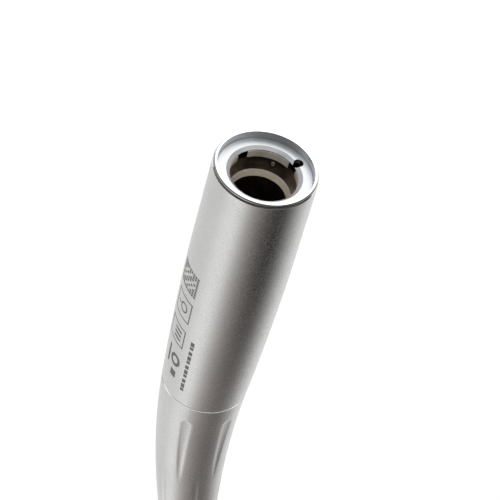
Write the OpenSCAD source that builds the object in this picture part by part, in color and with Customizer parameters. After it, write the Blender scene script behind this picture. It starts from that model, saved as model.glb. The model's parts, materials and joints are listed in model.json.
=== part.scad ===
/* [Grip] */
// Outer radius of the grip at the motor end
grip_r = 10; // [9.9:0.05:10.2]
// Distance from the motor end at which the grip begins to slim
taper_s = 22.5; // [18:0.5:26]
// How much slimmer the grip is, 80 mm after it begins to slim
taper_drop = 4.2; // [3.8:0.1:4.3]
// Distance from the motor end to the seam between the two sleeves
seam_s = 61.2; // [60.5:0.1:61.5]
// Depth of the finger flutes
flute_depth = 0.15; // [0.1:0.05:0.5]

/* [Bend] */
// Angle between the grip and the neck
bend_angle = 20; // [18:1:22]
// Distance from the motor end at which the bend begins
bend_s = 60; // [59:1:61]
// Radius of the bend's centreline
bend_r = 160; // [155:5:165]

/* [Motor coupling] */
// Radius of the counterbore in the motor end
counterbore_r = 9.1; // [9.0:0.05:9.2]
// Depth of the counterbore
counterbore_depth = 1.6; // [1.4:0.1:1.8]
// Inner radius of the ledge's chamfer
ledge_inner_r = 6.5; // [6.45:0.05:6.6]
// Radius of the bore that the motor's nose runs in
nose_bore_r = 5.2; // [5.1:0.05:5.3]
// Distance from the motor end to the bore's inner end
nose_bore_end = 26; // [25:0.5:26]
// Radius of the locating notch in the ledge
notch_r = 0.95; // [0.8:0.05:1.0]
// Distance of the notch from the axis
notch_offset = 7.45; // [7.3:0.05:7.6]
// Direction of the notch, round the axis from the bend
notch_angle = 78; // [60:1:90]

/* [Drive train] */
// Teeth on the sun and on each planet gear
sun_teeth = 12; // [12:1:12]
// Module of the planetary gears
planet_module = 0.3; // [0.28:0.01:0.31]
// Teeth on each gear at the knee
knee_teeth = 16; // [14:2:18]
// Teeth on each gear in the head
head_teeth = 14; // [12:2:16]
// Radius of the shafts in their bearings
shaft_r = 1.5875; // [1.5:0.0125:1.6]

/* [Head] */
// Distance from the knee to the spindle's axis, along the neck
head_t = 36; // [35.5:0.5:36.5]
// Outer radius of the head
head_r = 4.6; // [4.4:0.1:4.8]
// Radius of the chuck's bore, for a shank of 2.35 mm
chuck_bore_r = 1.19; // [1.18:0.005:1.2]
// How far the push button travels
button_travel = 0.8; // [0.5:0.1:0.8]

/* [Hidden] */
// Places along the rear axis are distances s from the motor end, downwards. Places along the neck are
// distances t from the knee, and places along the spindle are distances u from the neck's axis.
$fn = 96;
fit_gap = 0.02;
knee_s = bend_s + bend_r * tan(bend_angle / 2);
arc_len = bend_r * bend_angle * PI / 180;
arc_end_t = bend_r * tan(bend_angle / 2);
sleeve_end_t = 26.9;
flute_turn = -2.6;
sleeve_end_s = bend_s + arc_len - (arc_end_t - sleeve_end_t);
rim_s = 0.42;
rim_r = 9.8;
core_r = 9.28;
inner_core_r = 8.58;
joint_r = 7.88;
insert_r = 7.38;
groove_r = 6.9;
slot_ring_r = 6.4;
slot_ring_s = 2.3;
groove_s = 3.8;
bush_s = 6.5;
notch_way = 0.8;
notch_end = 3.3;
slot_w = 2.3;
slot_reach = 8.3;
slot_end = 4.2;
slot_turns = [1, 97, 181, 277];
lip_t = 0.3;
lock_angle = 117.5;
lock_s = 5.5;

// Ball bearings: 3.175 mm bore, 6.35 mm outside, 2.38 mm wide, with eight balls
bearing_r = 3.175;
bearing_w = 2.38;
seat_r = bearing_r + 0.01;
ball_count = 8;
ball_r = 0.397;
ball_circle_r = (shaft_r + bearing_r) / 2;
race_groove_r = ball_r + 0.025;
inner_race_r = 2.08;
outer_race_r = 2.68;
input_bearings = [34, 41];
carrier_bearings = [54.5, 81];
front_bearings = [7, 21];
head_bearings = [-5.55, 3.35];
spindle_top = 6.4;

// Planetary stage
ring_teeth = 3 * sun_teeth;
planet_r = planet_module * sun_teeth / 2;
planet_orbit_r = 2 * planet_r;
planet_s = 46.2;
planet_w = 4;
planet_angles = [0, 120, 240];
pin_r = 0.6;
plate_r = 4.8;
plate_s = 50.5;

// Bevel gears: cone distances to the outer and inner ends of the teeth
knee_cone = 2.9;
knee_cone_in = 2.0;
head_cone = 3.96;
head_cone_in = 2.76;
knee_pitch_angle = 90 - bend_angle / 2;
head_pitch_angle = 45;

// ---------------------------------------------------------------- helpers

// Radius of the body at s, without flutes
function body_r(s) = grip_r - taper_drop * pow(max(0, s - taper_s) / 80, 1.67);

// Turn of the centreline at s, in degrees
function turn(s) = min(bend_angle, max(0, s - bend_s) / bend_r * 180 / PI);

// Point of the centreline at s
function centre(s) =
    let (a = turn(s), past = max(0, s - bend_s - arc_len))
    [bend_r * (1 - cos(a)) + past * sin(bend_angle), 0,
     -min(s, bend_s) - bend_r * sin(a) - past * cos(bend_angle)];

// A rise from 0 to 1 between two places, with level ends
function ease(x, from, to) =
    let (q = min(1, max(0, (x - from) / (to - from)))) q * q * (3 - 2 * q);

// Depth of the flutes at s and angle a: two staggered rows of six tapering drops
function flute_row(s, a, phase, wide_s, point_s) =
    let (along = (s - wide_s) / (point_s - wide_s),
         start = max(0, min(1, along * 14)),
         half = 7.6 * sqrt(start * (2 - start)) * pow(max(0, 1 - along), 0.5),
         off = abs((a - phase + 390) % 60 - 30))
    (along <= 0 || along >= 1 || half < 0.01) ? 0 :
    flute_depth * ease(1 - off / half, 0, 0.7) * ease(1 - along, 0, 0.4);
function flutes(s, a) = flute_row(s, a, flute_turn, 65.7, 87)
    + flute_row(s, a, flute_turn + 30, 103.5, 82.5);

// A tube along the local -Z axis from a to b
module tube(a, b, outer, inner = 0) {
    translate([0, 0, -b])
        difference() {
            cylinder(r = outer, h = b - a);
            if (inner > 0) translate([0, 0, -1]) cylinder(r = inner, h = b - a + 2);
        }
}

// A turned solid from [radius, distance along the local -Z axis] points
module turned(points) {
    rotate_extrude() polygon([for (p = points) [p[0], -p[1]]]);
}

// The neck's own axis: the local -Z runs from the knee towards the head
module front_frame() {
    translate([0, 0, -knee_s]) rotate([0, -bend_angle, 0]) children();
}

// The spindle's own axis: the local -Z runs towards the working end
module head_frame() {
    front_frame() translate([0, 0, -head_t]) rotate([0, 90, 0]) children();
}

// Parts of a ball bearing whose rear face is at a
module inner_race(a) {
    mid = a + bearing_w / 2;
    rotate_extrude() difference() {
        translate([shaft_r, -a - bearing_w]) square([inner_race_r - shaft_r, bearing_w]);
        translate([ball_circle_r, -mid]) circle(r = race_groove_r);
    }
}
module outer_race(a) {
    mid = a + bearing_w / 2;
    rotate_extrude() difference() {
        translate([outer_race_r, -a - bearing_w]) square([bearing_r - outer_race_r, bearing_w]);
        translate([ball_circle_r, -mid]) circle(r = race_groove_r);
    }
}
module ball_ring(a) {
    for (i = [0 : ball_count - 1])
        rotate([0, 0, i * 360 / ball_count])
            translate([ball_circle_r, 0, -a - bearing_w / 2]) sphere(r = ball_r, $fn = 32);
}

// Involute function of an angle, in degrees
function inv(a) = tan(a) * 180 / PI - a;

// Half the angle of a tooth at radius r; play narrows it
function tooth_half(r, pitch, teeth, play) =
    let (base = pitch * cos(20), at = max(r, base))
    90 / teeth - play / pitch * 90 / PI + inv(20) - inv(acos(min(1, base / at)));

// Outline of a spur gear, with straight flanks between three radii
function gear_outline(teeth, module_mm, tip, root, play) =
    let (pitch = teeth * module_mm / 2,
         radii = [pitch - root, pitch * cos(20) + 0.02, pitch, pitch + tip],
         flank = [for (r = radii) [max(r, pitch - root), tooth_half(r, pitch, teeth, play)]])
    [for (k = [0 : teeth - 1], side = [-1, 1], i = [0 : 3])
        let (f = flank[side < 0 ? i : 3 - i], a = k * 360 / teeth + side * f[1])
        f[0] * [cos(a), sin(a)]];

// A gear of the planetary stage with a tooth at angle 0
module spur_gear(teeth, a, width, bore) {
    translate([0, 0, -a - width]) linear_extrude(width) difference() {
        polygon(gear_outline(teeth, planet_module, 0.7 * planet_module, 1.15 * planet_module, 0.05));
        circle(r = bore);
    }
}

// Point at a distance from the apex, a polar angle from the local +Z, and an angle round it
function cone_point(reach, polar, round_angle) =
    reach * [sin(polar) * cos(round_angle), sin(polar) * sin(round_angle), cos(polar)];

// Teeth of a bevel gear, straight and narrowing to the apex, with a tooth at angle 0
module bevel_teeth(teeth, cone, cone_in, pitch_angle, play) {
    mod = 2 * cone * sin(pitch_angle) / teeth;
    tip = 0.7 * mod;
    root = 1.0 * mod;
    sink = 0.06;
    pitch_half = PI * mod / 4 - play / 2;
    heights = [-root - sink, tip];
    halves = [pitch_half + root * tan(20), pitch_half - tip * tan(24)];
    polars = [for (h = heights) pitch_angle + h / cone * 180 / PI];
    rounds = [for (w = halves) w / (cone * sin(pitch_angle)) * 180 / PI];
    corners = [for (reach = [cone_in, cone], i = [0, 1], side = [-1, 1])
        cone_point(reach, polars[i], side * rounds[i])];
    for (k = [0 : teeth - 1])
        rotate([0, 0, k * 360 / teeth])
            polyhedron(corners, [[0, 2, 3, 1], [4, 5, 7, 6], [0, 1, 5, 4],
                                 [2, 6, 7, 3], [0, 4, 6, 2], [1, 3, 7, 5]]);
}

// A bevel gear on the local +Z side of its apex, with a hub up to back and a bore
module bevel_gear(teeth, cone, cone_in, pitch_angle, play, back, hub_r, bore) {
    mod = 2 * cone * sin(pitch_angle) / teeth;
    root_angle = pitch_angle - mod / cone * 180 / PI;
    outer = cone_point(cone, root_angle, 0);
    inner = cone_point(cone_in, root_angle, 0);
    shoulder = min(back - 0.2, outer[2] + 0.35);
    union() {
        rotate_extrude() polygon([[bore, inner[2]], [inner[0], inner[2]], [outer[0], outer[2]],
            [outer[0] - 0.1, shoulder], [hub_r, shoulder], [hub_r, back], [bore, back]]);
        bevel_teeth(teeth, cone, cone_in, pitch_angle, play);
    }
}

// Triangles that join ring i of a tube of rings to the next, for n points a ring
function band(i, j, n, flip) = [for (k = [0 : n - 1])
    let (a = i * n + k, b = i * n + (k + 1) % n, c = j * n + (k + 1) % n, d = j * n + k)
    each (flip ? [[a, c, b], [a, d, c]] : [[a, b, c], [a, c, d]])];

// ---------------------------------------------------------------- outer sleeves and coupling

module rear_sleeve() {
    outline = [for (i = [0 : 30]) let (s = 1.2 + (seam_s - 0.12 - 1.2) * i / 30) [body_r(s), s]];
    shoulder = [[rim_r, rim_s], [grip_r - 0.02, rim_s + 0.27], [grip_r, rim_s + 0.36]];
    color("silver") turned(concat(
        [[rim_r - 0.02, rim_s + 0.02]], shoulder, outline,
        [[body_r(seam_s) - 0.12, seam_s], [joint_r + fit_gap, seam_s], [joint_r + fit_gap, 52.47],
         [inner_core_r + fit_gap, 52.47], [inner_core_r + fit_gap, nose_bore_end + 0.6],
         [core_r + fit_gap, nose_bore_end], [core_r + fit_gap, 2.02], [rim_r - 0.02, 2.02]]));
}

module coupling_body() {
    color("gainsboro") difference() {
        turned([[counterbore_r + 0.07, 0], [rim_r - 0.25, 0], [rim_r - 0.04, 0.2], [rim_r - 0.04, 2],
            [core_r, 2], [core_r, nose_bore_end - 0.1], [insert_r + fit_gap, nose_bore_end - 0.1],
            [insert_r + fit_gap, slot_ring_s], [ledge_inner_r, slot_ring_s], [ledge_inner_r, 2.16],
            [7.2, counterbore_depth], [counterbore_r, counterbore_depth]]);
        ring_slots(slot_ring_s + lip_t);
        notch_hole();
        lock_hole();
    }
}

// The round hole for the motor's locating pin, down into the slot under it, with a narrow way through
// the lip into the bore
module notch_hole() {
    rotate([0, 0, notch_angle]) {
        translate([notch_offset, 0, -notch_end]) cylinder(r = notch_r, h = notch_end + 1);
        translate([ledge_inner_r - 0.5, -notch_way / 2, -notch_end])
            cube([notch_offset - ledge_inner_r + 0.5, notch_way, notch_end + 1]);
    }
}

// The four rectangular slots round the slotted ring, from the groove up to top; they reach into the
// coupling body under its lip
module ring_slots(top) {
    for (a = slot_turns)
        rotate([0, 0, notch_angle + a])
            translate([slot_ring_r - 1, -slot_w / 2, -slot_end])
                cube([slot_reach - slot_ring_r + 1, slot_w, slot_end - top]);
}

module lock_hole() {
    rotate([0, 0, lock_angle]) translate([groove_r - 0.5, 0, -lock_s])
        rotate([0, 90, 0]) cylinder(r = 0.7, h = 9.2 - groove_r + 0.5);
}

module slotted_ring() {
    color("rosybrown") difference() {
        turned([[slot_ring_r, slot_ring_s + 0.02], [insert_r, slot_ring_s + 0.02],
            [insert_r, bush_s - 0.02], [groove_r, bush_s - 0.02], [groove_r, groove_s],
            [slot_ring_r, groove_s]]);
        ring_slots(slot_ring_s - lip_t);
        lock_hole();
    }
}

module guide_bush() {
    color("dimgray") turned([[5.8, bush_s], [insert_r, bush_s], [insert_r, nose_bore_end - 0.1],
        [nose_bore_r + 0.3, nose_bore_end - 0.1], [nose_bore_r, nose_bore_end - 0.4],
        [nose_bore_r, 7.65]]);
}

module lock_pin() {
    color("lightgray") rotate([0, 0, lock_angle]) translate([9.15, 0, -lock_s]) rotate([0, -90, 0])
        rotate_extrude() polygon([[0, 0], [0.58, 0], [0.58, 2], [0.5, 2.12], [0.3, 2.2], [0, 2.24]]);
}

// ---------------------------------------------------------------- fixed parts of the drive

module rear_bearing_housing() {
    back = nose_bore_end + 0.8;
    color("lightsteelblue") turned([[4.6, back], [inner_core_r, back], [inner_core_r, 45],
        [seat_r, 45], [seat_r, 33.5], [4.6, 32.8]]);
}

module bearing_spacer() {
    color("tan") tube(input_bearings[0] + bearing_w, input_bearings[1], bearing_r - 0.01, 2.75);
}

module housing_circlip() {
    color("slategray") difference() {
        tube(33.6, 33.98, bearing_r - 0.01, 2.7);
        translate([2, -0.6, -35]) cube([3, 1.2, 3]);
    }
}

module ring_gear() {
    bore = gear_outline(ring_teeth, planet_module, 1.15 * planet_module, 0.7 * planet_module, -0.05);
    color("darkkhaki") translate([0, 0, -52.4]) linear_extrude(7.3) difference() {
        circle(r = 8.4);
        rotate([0, 0, 180 / ring_teeth]) polygon(bore);
    }
}

module thrust_washer() {
    color("peru") tube(52.5, 52.8, 4.6, 1.8);
}

module transmission_tube() {
    first = carrier_bearings[0];
    last = carrier_bearings[1];
    color("slategray") turned([[4.8, 52.5], [joint_r, 52.5], [joint_r, seam_s - 0.05],
        [6.85, seam_s - 0.05], [6.85, 62.6], [6.55, 62.6], [6.55, 63.2], [6.85, 63.2], [6.85, 68],
        [4, 68.6], [4, last + bearing_w + 1], [seat_r, last + bearing_w + 1], [seat_r, last - fit_gap],
        [2.8, last - fit_gap], [2.8, first + bearing_w + fit_gap],
        [seat_r, first + bearing_w + fit_gap], [seat_r, 52.9],
        [4.8, 52.9]]);
}

module joint_o_ring() {
    color("black") rotate_extrude() translate([6.8, -62.9]) circle(r = 0.24);
}

module front_sleeve() {
    angles = [for (k = [0 : 11], d = [-7.6, -4, 0, 4, 7.6]) flute_turn + 30 * k + d];
    outer_s = [for (i = [0 : 26]) seam_s + 0.05 + (sleeve_end_s - seam_s - 0.05) * i / 26];
    inner_s = [for (i = [0 : 6]) sleeve_end_s + (seam_s + 0.05 - sleeve_end_s) * i / 6];
    n = len(angles);
    rings = len(outer_s) + len(inner_s);
    function bore_at(s) = s < 70.2 ? 7.15 : body_r(s) - 1.1 + 0.15 * ease(s, 90, 110);
    function ring(s, outer) = let (c = centre(s), b = turn(s)) [for (a = angles)
        let (r = outer ? body_r(s) - flutes(s, a) : bore_at(s))
        c + r * [cos(a) * cos(b), sin(a), cos(a) * sin(b)]];
    points = [each [for (s = outer_s) each ring(s, true)], each [for (s = inner_s) each ring(s, false)]];
    faces = [for (i = [0 : rings - 1]) each band(i, (i + 1) % rings, n, false)];
    color("silver") polyhedron(points, faces);
}

module neck_tube() {
    color("slategray") front_frame() turned([[seat_r, 6], [3.6, 6], [3.6, 30.9], [2.5, 30.9],
        [2.5, front_bearings[1] + bearing_w + fit_gap],
        [seat_r, front_bearings[1] + bearing_w + fit_gap],
        [seat_r, front_bearings[1] - fit_gap], [2.8, front_bearings[1] - fit_gap],
        [2.8, front_bearings[0] + bearing_w + fit_gap],
        [seat_r, front_bearings[0] + bearing_w + fit_gap]]);
}

// ---------------------------------------------------------------- fixed parts of the head

module head_housing() {
    color("silver") difference() {
        union() {
            front_frame() turned([[0, 27], [4.55, 27], [4.62, 27.1], [4.4, 29.5], [4.2, 32],
                [4.2, head_t - 1], [0, head_t - 1]]);
            head_frame() turned([[0, -6], [head_r, -6], [head_r, 5.6], [head_r - 0.6, 6.3], [0, 6.3]]);
        }
        front_frame() tube(26, 31, 3.62);
        front_frame() tube(30.9, head_t - 0.5, 3.35);
        head_frame() tube(-3.15, 3.3, 3.35);
        head_frame() tube(-7, 7, seat_r);
    }
}

module head_cap() {
    color("silver") head_frame() turned([[3.5, -6.03], [head_r, -6.03], [head_r, -7.3],
        [head_r - 0.15, -7.8], [head_r - 0.6, -8.35], [head_r - 1.1, -8.6], [2.9, -8.6],
        [2.9, -8.05], [3.5, -8.05]]);
}

module head_shim() {
    color("peru") head_frame() tube(-5.78, -5.6, bearing_r - 0.01, 2.3);
}

module head_cover() {
    color("gainsboro") head_frame() turned([[1.75, 5.8], [bearing_r - 0.01, 5.8],
        [bearing_r - 0.01, 6.2], [2.9, 6.4], [1.75, 6.4]]);
}

module input_outer_races() {
    color("lightgray") for (a = input_bearings) outer_race(a);
}
module carrier_outer_races() {
    color("lightgray") for (a = carrier_bearings) outer_race(a);
}
module front_outer_races() {
    color("lightgray") front_frame() for (a = front_bearings) outer_race(a);
}
module head_outer_races() {
    color("lightgray") head_frame() for (a = head_bearings) outer_race(a);
}

// ---------------------------------------------------------------- input shaft

module drive_dog() {
    color("darkgray") difference() {
        turned([[1.52, 28], [2.7, 28], [3, 28.3], [3, 31.6], [2.4, 32.4], [1.52, 32.4]]);
        translate([-4, -0.8, -30.2]) cube([8, 1.6, 4]);
    }
}

module input_shaft() {
    front = planet_s + planet_w;
    color("silver") turned([[0, 30.4], [1.5, 30.4], [1.5, 33.4], [shaft_r, 33.5], [shaft_r, 43.44],
        [1.4, 43.44], [1.4, 43.8], [shaft_r, 43.8], [shaft_r, 45.8], [1, 45.8], [1, front],
        [0, front]]);
}

module sun_gear() {
    color("goldenrod") spur_gear(sun_teeth, planet_s, planet_w, 1.02);
}

module shaft_circlip() {
    color("slategray") difference() {
        tube(43.46, 43.78, 2.05, 1.42);
        translate([0.5, -0.7, -45]) cube([3, 1.4, 3]);
    }
}

module input_inner_races() {
    color("gainsboro") for (a = input_bearings) inner_race(a);
}
module input_balls() {
    color("white") for (a = input_bearings) ball_ring(a);
}

// ---------------------------------------------------------------- planet carrier

module planet_carrier() {
    end = knee_s - 0.9;
    color("steelblue") difference() {
        turned([[0, plate_s], [plate_r, plate_s], [plate_r, 51.9], [2.2, 51.9], [2.2, 52.3],
            [shaft_r, 52.3], [shaft_r, 84.2], [1, 84.2], [1, end], [0, end]]);
        for (a = planet_angles)
            rotate([0, 0, a]) translate([planet_orbit_r, 0, -60]) cylinder(r = pin_r + 0.01, h = 12);
    }
}

module carrier_plate() {
    color("steelblue") difference() {
        tube(45.25, 45.9, plate_r, 2.3);
        for (a = planet_angles)
            rotate([0, 0, a]) translate([planet_orbit_r, 0, -47]) cylinder(r = pin_r + 0.01, h = 4);
    }
}

module planet_pins() {
    color("lightgray") for (a = planet_angles)
        rotate([0, 0, a]) translate([planet_orbit_r, 0, 0]) tube(45.25, 51.9, pin_r);
}

module planet_gear(i) {
    color("gold") rotate([0, 0, planet_angles[i]]) translate([planet_orbit_r, 0, 0])
        rotate([0, 0, 180 / sun_teeth]) spur_gear(sun_teeth, planet_s, planet_w, pin_r + 0.03);
}
module planet_gear_1() { planet_gear(0); }
module planet_gear_2() { planet_gear(1); }
module planet_gear_3() { planet_gear(2); }

module knee_gear() {
    bevel_gear(knee_teeth, knee_cone, knee_cone_in, knee_pitch_angle, 0.08, 2.9, 1.8, 1.02);
}

module knee_drive_gear() {
    color("goldenrod") translate([0, 0, -knee_s]) knee_gear();
}

module carrier_inner_races() {
    color("gainsboro") for (a = carrier_bearings) inner_race(a);
}
module carrier_balls() {
    color("white") for (a = carrier_bearings) ball_ring(a);
}

// ---------------------------------------------------------------- front shaft

module knee_driven_gear() {
    color("gold") front_frame() rotate([180, 0, 0]) rotate([0, 0, 180 / knee_teeth]) knee_gear();
}

module front_shaft() {
    color("silver") front_frame() turned([[0, 0.9], [1, 0.9], [1, 4], [shaft_r, 4], [shaft_r, 23.6],
        [1.3, 24], [1.3, 31], [1, 31], [1, 33.8], [0, 33.8]]);
}

module head_bevel(back) {
    bevel_gear(head_teeth, head_cone, head_cone_in, head_pitch_angle, 0.09, back, 2.2, 1.02);
}

module front_pinion() {
    color("goldenrod") front_frame() translate([0, 0, -head_t]) head_bevel(4.7);
}

module front_inner_races() {
    color("gainsboro") front_frame() for (a = front_bearings) inner_race(a);
}
module front_balls() {
    color("white") front_frame() for (a = front_bearings) ball_ring(a);
}

// ---------------------------------------------------------------- spindle and button

module spindle() {
    color("silver") head_frame() turned([[chuck_bore_r, -5.2], [chuck_bore_r, 6.85],
        [chuck_bore_r + 0.12, 7], [1.45, 7], [1.55, 6.9], [shaft_r, 6.8], [shaft_r, -5.9],
        [1.35, -5.9], [1.35, -6.2], [shaft_r, -6.2], [shaft_r, -spindle_top],
        [0.5, -spindle_top], [0.5, -5.2]]);
}

module head_gear() {
    color("gold") head_frame() rotate([180, 0, 0]) rotate([0, 0, 180 / head_teeth])
        bevel_gear(head_teeth, head_cone, head_cone_in, head_pitch_angle, 0.09, 3.33, 2.1,
            shaft_r + 0.01);
}

module chuck_clip() {
    color("slategray") head_frame() difference() {
        tube(-6.18, -5.92, 2.1, 1.37);
        translate([0.4, -0.6, 5]) cube([3, 1.2, 2]);
    }
}

module head_inner_races() {
    color("gainsboro") head_frame() for (a = head_bearings) inner_race(a);
}
module head_balls() {
    color("white") head_frame() for (a = head_bearings) ball_ring(a);
}

module push_button() {
    stem_end = -spindle_top - button_travel - 0.15;
    color("gainsboro") head_frame() turned([[0, stem_end], [0.9, stem_end], [0.9, -7.55], [3.35, -7.55],
        [3.35, -8], [2.82, -8], [2.82, -8.9], [2.6, -9.12], [2, -9.2], [0, -9.1]]);
}

// A coil of round wire, closed at both ends
module button_spring() {
    wire_r = 0.2;
    coil_r = 2.62;
    top = -5.99;
    bottom = -7.34;
    turns = 1.3;
    steps = 42;
    sides = 8;
    function coil_at(q) = let (a = 360 * turns * q)
        [coil_r * cos(a), coil_r * sin(a), -(top + (bottom - top) * q)];
    function coil_ring(q) = let (a = 360 * turns * q, c = coil_at(q)) [for (k = [0 : sides - 1])
        let (b = k * 360 / sides)
        c + wire_r * [cos(b) * cos(a), cos(b) * sin(a), sin(b)]];
    points = [for (i = [0 : steps]) each coil_ring(i / steps)];
    ends = [[for (k = [0 : sides - 1]) k], [for (k = [sides - 1 : -1 : 0]) steps * sides + k]];
    faces = concat([for (i = [0 : steps - 1]) each band(i, i + 1, sides, true)], ends);
    color("dimgray") head_frame() polyhedron(points, faces);
}

// ---------------------------------------------------------------- the assembly

rear_sleeve();
coupling_body();
slotted_ring();
guide_bush();
lock_pin();
rear_bearing_housing();
bearing_spacer();
housing_circlip();
ring_gear();
thrust_washer();
transmission_tube();
joint_o_ring();
front_sleeve();
neck_tube();
head_housing();
head_cap();
head_shim();
head_cover();
input_outer_races();
carrier_outer_races();
front_outer_races();
head_outer_races();
drive_dog();
input_shaft();
sun_gear();
shaft_circlip();
input_inner_races();
input_balls();
planet_carrier();
carrier_plate();
planet_pins();
knee_drive_gear();
carrier_inner_races();
carrier_balls();
planet_gear_1();
planet_gear_2();
planet_gear_3();
knee_driven_gear();
front_shaft();
front_pinion();
front_inner_races();
front_balls();
spindle();
head_gear();
chuck_clip();
head_inner_races();
head_balls();
push_button();
button_spring();
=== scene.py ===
"""Looks of a dental contra-angle prophy handpiece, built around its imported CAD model.

The outer pieces are rebuilt as fine surfaces worked out with numpy: the two sleeves, the motor
coupling, and the head with its cap, button, cover and spindle. The drive inside keeps its CAD
solids and gets ground, turned and hardened steel finishes.

Places along the rear axis are distances s from the motor end, places along the neck are
distances t from the knee, and places along the spindle are distances u from the neck's axis.
All of them are in millimetres, and one function turns them to Blender's metres.
"""

import json
import logging
import math
from dataclasses import dataclass
from enum import Enum

import bmesh
import bpy
import numpy as np
from mathutils import Matrix, Vector


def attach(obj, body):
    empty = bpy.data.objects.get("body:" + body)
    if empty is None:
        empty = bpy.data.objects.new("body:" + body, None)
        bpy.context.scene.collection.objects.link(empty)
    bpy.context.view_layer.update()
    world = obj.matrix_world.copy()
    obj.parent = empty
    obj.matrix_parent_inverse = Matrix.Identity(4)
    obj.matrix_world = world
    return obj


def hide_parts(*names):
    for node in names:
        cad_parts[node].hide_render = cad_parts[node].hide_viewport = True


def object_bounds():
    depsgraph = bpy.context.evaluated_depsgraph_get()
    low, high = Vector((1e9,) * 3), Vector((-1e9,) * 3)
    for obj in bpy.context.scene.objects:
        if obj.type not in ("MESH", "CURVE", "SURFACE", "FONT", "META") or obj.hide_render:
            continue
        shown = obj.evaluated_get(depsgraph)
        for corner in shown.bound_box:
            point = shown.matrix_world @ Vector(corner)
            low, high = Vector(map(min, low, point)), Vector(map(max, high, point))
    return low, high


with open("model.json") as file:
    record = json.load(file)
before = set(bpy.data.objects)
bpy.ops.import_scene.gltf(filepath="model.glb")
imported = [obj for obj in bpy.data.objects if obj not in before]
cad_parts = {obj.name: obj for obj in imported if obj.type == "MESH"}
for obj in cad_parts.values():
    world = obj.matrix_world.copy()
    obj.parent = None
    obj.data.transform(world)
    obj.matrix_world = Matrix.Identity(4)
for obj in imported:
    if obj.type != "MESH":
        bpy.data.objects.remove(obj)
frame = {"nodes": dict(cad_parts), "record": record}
cad_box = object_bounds()

log = logging.getLogger("handpiece")
MM = 0.001
BEND_DEG = 20.0
BEND_S = 60.0
BEND_R = 160.0
HEAD_T = 36.0
SEAM_S = 61.2
KNEE_S = BEND_S + BEND_R * math.tan(math.radians(BEND_DEG / 2))
ARC_S = BEND_S + BEND_R * math.radians(BEND_DEG)
SLEEVE_END_T = 26.9
SLEEVE_END_S = ARC_S - (BEND_R * math.tan(math.radians(BEND_DEG / 2)) - SLEEVE_END_T)
GRIP_R = 10.0
TAPER_DROP = 4.2
TAPER_S = 22.5
TAPER_RUN = 80.0
TAPER_POWER = 1.67
NOTCH_AZ = 78.0
NOTCH_OFFSET = 7.45
NOTCH_R = 0.95
SLOT_TURNS = (1, 97, 181, 277)
LOCK_AZ = 117.5
LOCK_S = 5.5
FLUTE_COUNT = 12
FLUTE_STEP = 30.0
FLOOR_GAP = 0.5
CARD_RISE = 0.4


class Body(Enum):
    """The CAD bodies that the new pieces ride on."""

    ROOT = "root"
    SPINDLE = "spindle"
    BUTTON = "button"


class Slot(Enum):
    """The record's material slots, named with each new piece."""

    SLEEVE = "satin_sleeve"
    POLISHED = "polished_steel"
    COUPLING = "coupling_steel"
    BRONZED = "bronzed_steel"
    DARK = "dark_steel"


# ------------------------------------------------------------------ places and shapes


@dataclass(frozen=True)
class Axis:
    """A straight axis that pieces are turned about; its own -Z runs towards the working end.

    Attributes:
        name: A word for the names of finishes that follow this axis.
        origin: Its zero point in the row frame, in mm.
        tilt_deg: Its turn about the row's Y axis.
    """

    name: str
    origin: tuple[float, float, float]
    tilt_deg: float

    def place(self, points: np.ndarray) -> np.ndarray:
        """Turns points about Y by the tilt and moves them to the origin.

        Args:
            points: Points in the axis's own frame, in mm, the last dimension being x, y, z.

        Returns:
            The same points in the row frame, in mm.
        """
        tilt = math.radians(self.tilt_deg)
        turn = np.array([[math.cos(tilt), 0, math.sin(tilt)], [0, 1, 0],
                         [-math.sin(tilt), 0, math.cos(tilt)]])
        return points @ turn.T + np.array(self.origin)


REAR = Axis("rear", (0.0, 0.0, 0.0), 0.0)
NECK = Axis("neck", (0.0, 0.0, -KNEE_S), -BEND_DEG)
HEAD = Axis("head", tuple(NECK.place(np.array([0.0, 0.0, -HEAD_T])).tolist()), 90.0 - BEND_DEG)


def body_radius(s: np.ndarray) -> np.ndarray:
    """Radius of the body at s: GRIP_R, slimming by TAPER_DROP in TAPER_RUN with TAPER_POWER.

    Args:
        s: Distances from the motor end, in mm.

    Returns:
        The radii, in mm.
    """
    past = np.maximum(0.0, np.asarray(s, float) - TAPER_S)
    return GRIP_R - TAPER_DROP * (past / TAPER_RUN) ** TAPER_POWER


def ease(x: np.ndarray) -> np.ndarray:
    """Three x squared less two x cubed, with x held from 0 to 1: a rise with level ends."""
    q = np.clip(x, 0.0, 1.0)
    return q * q * (3.0 - 2.0 * q)


def bent(s: np.ndarray, angle: np.ndarray, radius: np.ndarray) -> np.ndarray:
    """Points round the bent centreline: straight to BEND_S, then an arc of radius BEND_R.

    Args:
        s: Distances along the centreline, in mm.
        angle: Angles round it from the bend's side, in radians.
        radius: Distances from it, in mm.

    Returns:
        Points in the row frame, in mm, with x, y, z last.
    """
    turn = np.clip((s - BEND_S) / BEND_R, 0.0, math.radians(BEND_DEG))
    past = np.maximum(0.0, s - ARC_S)
    mid_x = BEND_R * (1 - np.cos(turn)) + past * math.sin(math.radians(BEND_DEG))
    mid_z = -np.minimum(s, BEND_S) - BEND_R * np.sin(turn) - past * math.cos(math.radians(BEND_DEG))
    out = radius * np.cos(angle)
    return np.stack([mid_x + out * np.cos(turn), radius * np.sin(angle),
                     mid_z + out * np.sin(turn)], axis=-1)


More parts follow.
